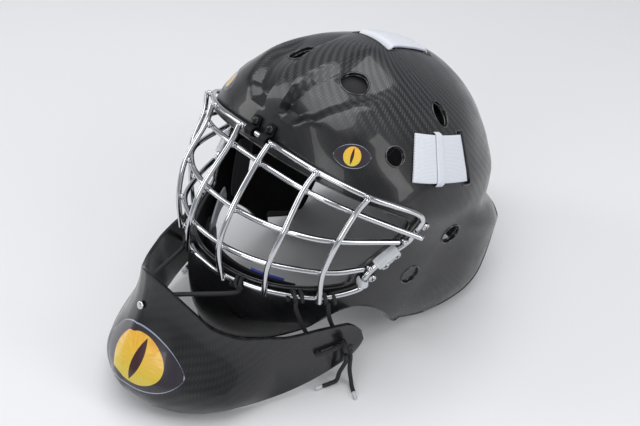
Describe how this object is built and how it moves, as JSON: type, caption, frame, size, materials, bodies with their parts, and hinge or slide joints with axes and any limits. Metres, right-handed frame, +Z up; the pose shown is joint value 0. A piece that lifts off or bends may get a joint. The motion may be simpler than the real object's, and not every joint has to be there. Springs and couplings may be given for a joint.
{
  "type": "ice hockey goalie mask",
  "caption": "Goaltender's face mask: rigid shell with wire cage, padded lining, hinged back plate on elastic straps and a laced throat guard.",
  "frame": {"origin": "middle of the footprint of the whole mask, on the floor", "axes": "+Z up, the wearer faces -Y, the wearer's left is +X; the mask leans back by 24 degrees, as it is put down"},
  "size_m": [0.2634, 0.4038, 0.2513],
  "materials": {
    "black_composite": "black fibre composite under clear coat",
    "chromed_wire": "bright chromed steel wire",
    "screw_steel": "plain steel",
    "clear_plastic": "clear tough plastic",
    "liner_plastic": "matt moulded plastic",
    "foam": "closed-cell foam, matt",
    "sweatband_cloth": "brushed lining cloth",
    "white_elastic": "woven elastic webbing",
    "black_cord": "braided cord"
  },
  "bodies": {
    "mask": {"cage_crossbar_lower": "chromed_wire", "cage_crossbar_middle": "chromed_wire", "cage_crossbar_upper": "chromed_wire", "cage_perimeter": "chromed_wire", "cage_upright_inner_left": "chromed_wire", "cage_upright_inner_right": "chromed_wire", "cage_upright_middle_left": "chromed_wire", "cage_upright_middle_right": "chromed_wire", "cage_upright_outer_left": "chromed_wire", "cage_upright_outer_right": "chromed_wire", "chin_cup": "liner_plastic", "chin_pad": "foam", "chin_sling_left": "white_elastic", "chin_sling_right": "white_elastic", "corner_screw_left": "screw_steel", "corner_screw_right": "screw_steel", "crown_pad": "foam", "crown_strap": "white_elastic", "forehead_pad": "foam", "jaw_pad_left": "foam", "jaw_pad_right": "foam", "lace_centre": "black_cord", "lace_left": "black_cord", "lace_right": "black_cord", "lower_clip_left": "clear_plastic", "lower_clip_right": "clear_plastic", "lower_clip_screw_left": "screw_steel", "lower_clip_screw_right": "screw_steel", "lower_strap_left": "white_elastic", "lower_strap_right": "white_elastic", "shell": "black_composite", "side_clip_left": "clear_plastic", "side_clip_lower_screw_left": "screw_steel", "side_clip_lower_screw_right": "screw_steel", "side_clip_right": "clear_plastic", "side_clip_upper_screw_left": "screw_steel", "side_clip_upper_screw_right": "screw_steel", "side_strap_left": "white_elastic", "side_strap_right": "white_elastic", "sweatband": "sweatband_cloth", "temple_pad_left": "foam", "temple_pad_right": "foam", "top_clip_left": "clear_plastic", "top_clip_right": "clear_plastic", "top_clip_screw_left": "screw_steel", "top_clip_screw_right": "screw_steel"},
    "back_plate": {"back_plate": "black_composite", "back_plate_pad": "foam"},
    "throat_guard": {"guard_rivet": "screw_steel", "lace_knot_left": "black_cord", "lace_knot_right": "black_cord", "lace_tail_front_left": "black_cord", "lace_tail_front_right": "black_cord", "lace_tail_rear_left": "black_cord", "lace_tail_rear_right": "black_cord", "lace_tip_front_left": "clear_plastic", "lace_tip_front_right": "clear_plastic", "lace_tip_rear_left": "clear_plastic", "lace_tip_rear_right": "clear_plastic", "throat_guard": "black_composite"}
  },
  "joints": [
    {"name": "back_plate_hinge", "type": "hinge", "parent": "mask", "child": "back_plate", "pos_m": [0, 0.1974, 0.148], "axis": [1, 0, 0], "range_deg": [0, 35], "stiffness_Nm_per_rad": 1, "springref_deg": -17.19},
    {"name": "throat_guard_hinge", "type": "hinge", "parent": "mask", "child": "throat_guard", "pos_m": [0, -0.0356, 0.042], "axis": [1, 0, 0], "range_deg": [-20, 0], "stiffness_Nm_per_rad": 2, "springref_deg": 25.78, "deforming": ["lace_centre", "lace_left", "lace_right"]}
  ]
}
